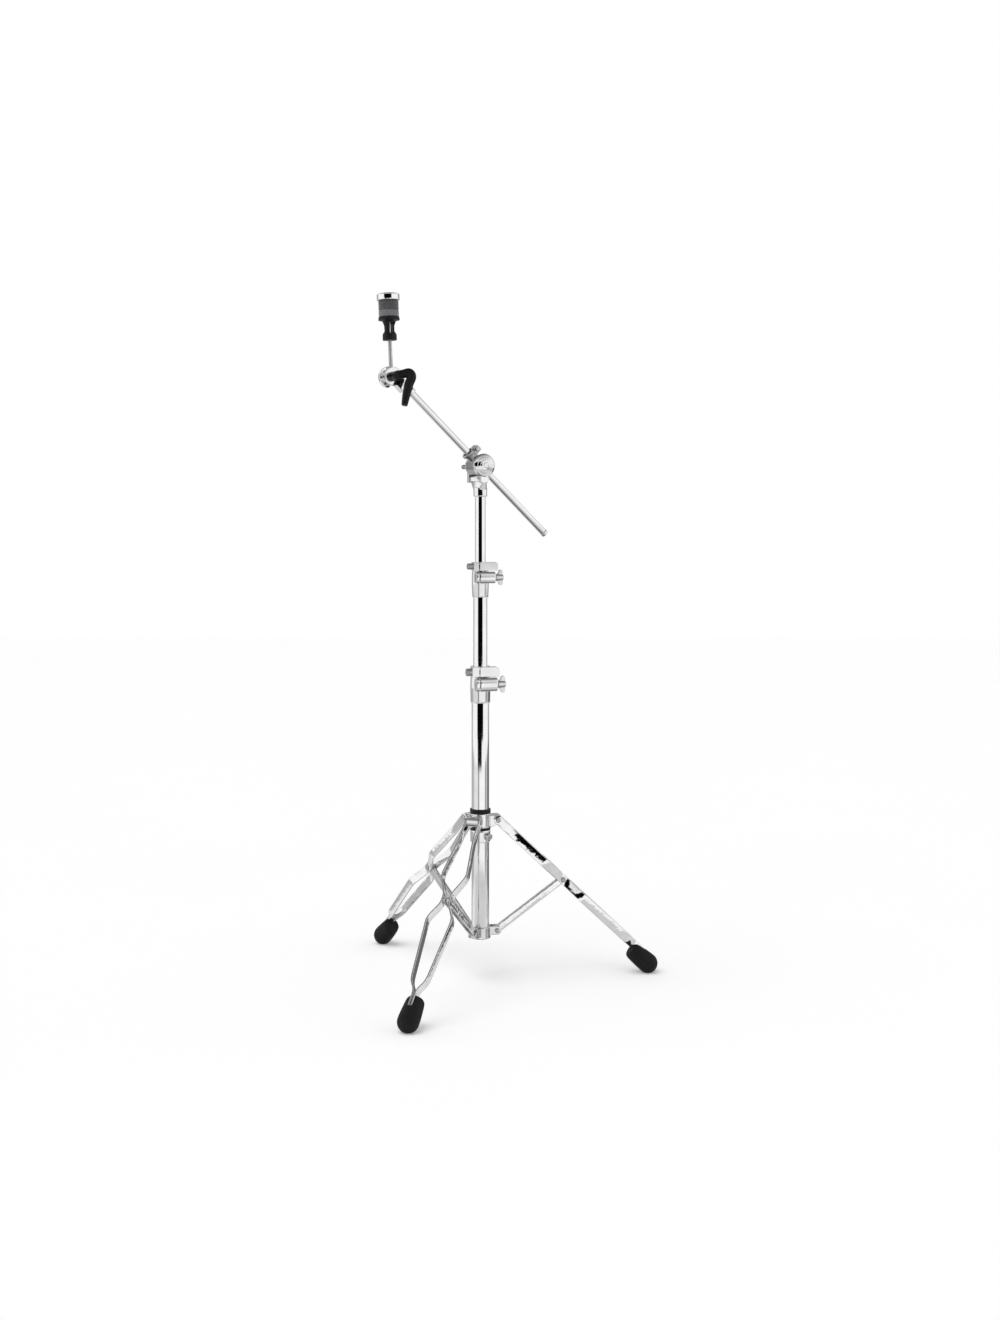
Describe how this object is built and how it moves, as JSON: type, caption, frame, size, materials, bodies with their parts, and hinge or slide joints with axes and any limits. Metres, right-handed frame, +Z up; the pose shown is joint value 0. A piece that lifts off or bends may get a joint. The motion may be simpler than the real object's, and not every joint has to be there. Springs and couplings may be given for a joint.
{
  "type": "cymbal boom stand",
  "caption": "Chromed cymbal boom stand on a folding double-braced tripod, with telescoping tubes, a pitching boom clamp, a sliding boom and a tilting felted cymbal seat.",
  "frame": {"origin": "on the floor, at the middle of the bounding box's bottom face; the stand's own vertical axis is at x = -0.0567, y = 0.0237 m", "axes": "+Z up along the height tubes; the tilter end of the boom points towards -X and the tilter's lever faces -Y"},
  "size_m": [0.5404, 0.5712, 1.2327],
  "materials": {
    "chrome": "polished chrome plate",
    "cast_chrome": "chromed casting, slightly softer shine",
    "steel": "plated fasteners",
    "nylon": "black moulded nylon",
    "rubber": "black rubber, matt",
    "lever": "black moulded plastic, satin",
    "dark_felt": "pressed wool felt, dark grey",
    "grey_felt": "pressed wool felt, grey"
  },
  "bodies": {
    "base": {"base_tube": "chrome", "lower_hub": "cast_chrome", "hub_pin_1": "steel", "hub_pin_2": "steel", "hub_pin_3": "steel", "lower_clamp_body": "cast_chrome", "lower_clamp_bush": "nylon"},
    "leg_collar": {"leg_collar": "cast_chrome", "collar_bush": "nylon", "collar_pin_1": "steel", "collar_pin_2": "steel", "collar_pin_3": "steel"},
    "collar_lock_screw": {"collar_lock_screw": "steel"},
    "leg_1": {"leg_1_near_strap": "chrome", "leg_1_near_rivet": "steel", "leg_1_far_strap": "chrome", "leg_1_far_rivet": "steel", "leg_1_foot": "rubber"},
    "brace_1": {"brace_1_near_strap": "chrome", "brace_1_far_strap": "chrome"},
    "leg_2": {"leg_2_near_strap": "chrome", "leg_2_near_rivet": "steel", "leg_2_far_strap": "chrome", "leg_2_far_rivet": "steel", "leg_2_foot": "rubber"},
    "brace_2": {"brace_2_near_strap": "chrome", "brace_2_far_strap": "chrome"},
    "leg_3": {"leg_3_near_strap": "chrome", "leg_3_near_rivet": "steel", "leg_3_far_strap": "chrome", "leg_3_far_rivet": "steel", "leg_3_foot": "rubber"},
    "brace_3": {"brace_3_near_strap": "chrome", "brace_3_far_strap": "chrome"},
    "lower_clamp_wing_bolt": {"lower_clamp_wing_bolt": "cast_chrome"},
    "middle_tube": {"upper_clamp_body": "cast_chrome", "upper_clamp_bush": "nylon", "middle_tube": "chrome"},
    "upper_clamp_wing_bolt": {"upper_clamp_wing_bolt": "cast_chrome"},
    "lower_memory_lock": {"lower_memory_lock": "cast_chrome", "lower_memory_lock_bolt": "steel"},
    "upper_memory_lock": {"upper_memory_lock": "cast_chrome", "upper_memory_lock_bolt": "steel"},
    "upper_tube": {"upper_tube": "chrome", "boom_yoke": "cast_chrome"},
    "boom_clamp": {"boom_clamp_housing": "cast_chrome", "boom_clamp_screw": "steel", "boom_pivot_bolt": "steel"},
    "boom_wing_nut": {"boom_wing_nut": "cast_chrome"},
    "boom_bush": {"boom_bush": "nylon"},
    "boom_arm": {"boom_arm": "chrome", "boom_end_cap": "steel", "tilter_body": "cast_chrome"},
    "tilter": {"tilter_disc": "chrome", "cymbal_post": "steel", "cymbal_seat": "nylon", "lower_felt": "grey_felt"},
    "tilter_lever": {"tilter_lever": "lever"},
    "upper_felt": {"upper_felt": "dark_felt"},
    "top_nut": {"top_nut": "chrome"}
  },
  "joints": [
    {"name": "collar_slide", "type": "slide", "parent": "base", "child": "leg_collar", "axis": [0, 0, 1], "range_m": [0, 0.108]},
    {"name": "leg_1_fold", "type": "hinge", "parent": "leg_collar", "child": "leg_1", "pos_m": [-0.07608, 0.04789, 0.2915], "axis": [-0.7804, -0.6252, 0], "range_deg": [0, 35.63]},
    {"name": "brace_1_fold", "type": "hinge", "parent": "base", "child": "brace_1", "pos_m": [-0.07546, 0.04711, 0.09], "axis": [-0.7804, -0.6252, 0], "range_deg": [-41.5, 0]},
    {"name": "leg_2_fold", "type": "hinge", "parent": "leg_collar", "child": "leg_2", "pos_m": [-0.06796, -0.00518, 0.2915], "axis": [0.9317, -0.3633, 0], "range_deg": [0, 35.63]},
    {"name": "brace_2_fold", "type": "hinge", "parent": "base", "child": "brace_2", "pos_m": [-0.0676, -0.00425, 0.09], "axis": [0.9317, -0.3633, 0], "range_deg": [-41.5, 0]},
    {"name": "leg_3_fold", "type": "hinge", "parent": "leg_collar", "child": "leg_3", "pos_m": [-0.02606, 0.02839, 0.2915], "axis": [-0.1513, 0.9885, 0], "range_deg": [0, 35.63]},
    {"name": "brace_3_fold", "type": "hinge", "parent": "base", "child": "brace_3", "pos_m": [-0.02704, 0.02824, 0.09], "axis": [-0.1513, 0.9885, 0], "range_deg": [-41.5, 0]},
    {"name": "collar_lock_screw_turn", "type": "hinge", "parent": "leg_collar", "child": "collar_lock_screw", "pos_m": [-0.04384, 0.00838, 0.2633], "axis": [0.6428, -0.766, 0], "continuous": true},
    {"name": "lower_wing_bolt_turn", "type": "hinge", "parent": "base", "child": "lower_clamp_wing_bolt", "pos_m": [-0.02081, 0.01282, 0.538], "axis": [0.9397, 0.342, 0], "continuous": true},
    {"name": "lower_swivel", "type": "hinge", "parent": "base", "child": "lower_memory_lock", "pos_m": [-0.0567, 0.0237, 0.561], "axis": [0, 0, 1], "continuous": true},
    {"name": "middle_tube_height", "type": "slide", "parent": "lower_memory_lock", "child": "middle_tube", "axis": [0, 0, 1], "range_m": [-0.115, 0.2]},
    {"name": "upper_wing_bolt_turn", "type": "hinge", "parent": "middle_tube", "child": "upper_clamp_wing_bolt", "pos_m": [-0.02174, 0.01536, 0.7312], "axis": [0.9397, 0.342, 0], "continuous": true},
    {"name": "upper_swivel", "type": "hinge", "parent": "middle_tube", "child": "upper_memory_lock", "pos_m": [-0.0567, 0.0237, 0.7514], "axis": [0, 0, 1], "continuous": true},
    {"name": "upper_tube_height", "type": "slide", "parent": "upper_memory_lock", "child": "upper_tube", "axis": [0, 0, 1], "range_m": [-0.11, 0.18]},
    {"name": "boom_pitch", "type": "hinge", "parent": "upper_tube", "child": "boom_clamp", "pos_m": [-0.0567, 0.0237, 0.934], "axis": [0.5, -0.866, 0], "range_deg": [-13, 82]},
    {"name": "boom_wing_nut_turn", "type": "hinge", "parent": "boom_clamp", "child": "boom_wing_nut", "pos_m": [-0.0752, 0.05574, 0.934], "axis": [-0.5, 0.866, 0], "continuous": true},
    {"name": "boom_roll", "type": "hinge", "parent": "boom_clamp", "child": "boom_bush", "pos_m": [-0.0567, 0.0237, 0.934], "axis": [-0.6436, -0.3716, 0.6691], "range_deg": [-90, 90]},
    {"name": "boom_slide", "type": "slide", "parent": "boom_bush", "child": "boom_arm", "axis": [-0.6436, -0.3716, 0.6691], "range_m": [-0.12, 0.13]},
    {"name": "tilter_tilt", "type": "hinge", "parent": "boom_arm", "child": "tilter", "pos_m": [-0.21256, -0.06628, 1.08622], "axis": [0.5, -0.866, 0], "range_deg": [-60, 60]},
    {"name": "tilter_lever_turn", "type": "hinge", "parent": "boom_arm", "child": "tilter_lever", "pos_m": [-0.21256, -0.06628, 1.08622], "axis": [0.5, -0.866, 0], "continuous": true},
    {"name": "upper_felt_lift", "type": "slide", "parent": "tilter", "child": "upper_felt", "axis": [-0.0378, -0.0218, 0.999], "range_m": [0, 0.008]},
    {"name": "top_nut_turn", "type": "hinge", "parent": "upper_felt", "child": "top_nut", "pos_m": [-0.21712, -0.07007, 1.21999], "axis": [-0.0378, -0.0218, 0.999], "continuous": true}
  ],
  "couplings": [
    {"joint": "leg_1_fold", "follows": "collar_slide", "rad_per_m": 5.7569},
    {"joint": "brace_1_fold", "follows": "collar_slide", "rad_per_m": -6.7054},
    {"joint": "leg_2_fold", "follows": "collar_slide", "rad_per_m": 5.7569},
    {"joint": "brace_2_fold", "follows": "collar_slide", "rad_per_m": -6.7054},
    {"joint": "leg_3_fold", "follows": "collar_slide", "rad_per_m": 5.7569},
    {"joint": "brace_3_fold", "follows": "collar_slide", "rad_per_m": -6.7054}
  ]
}
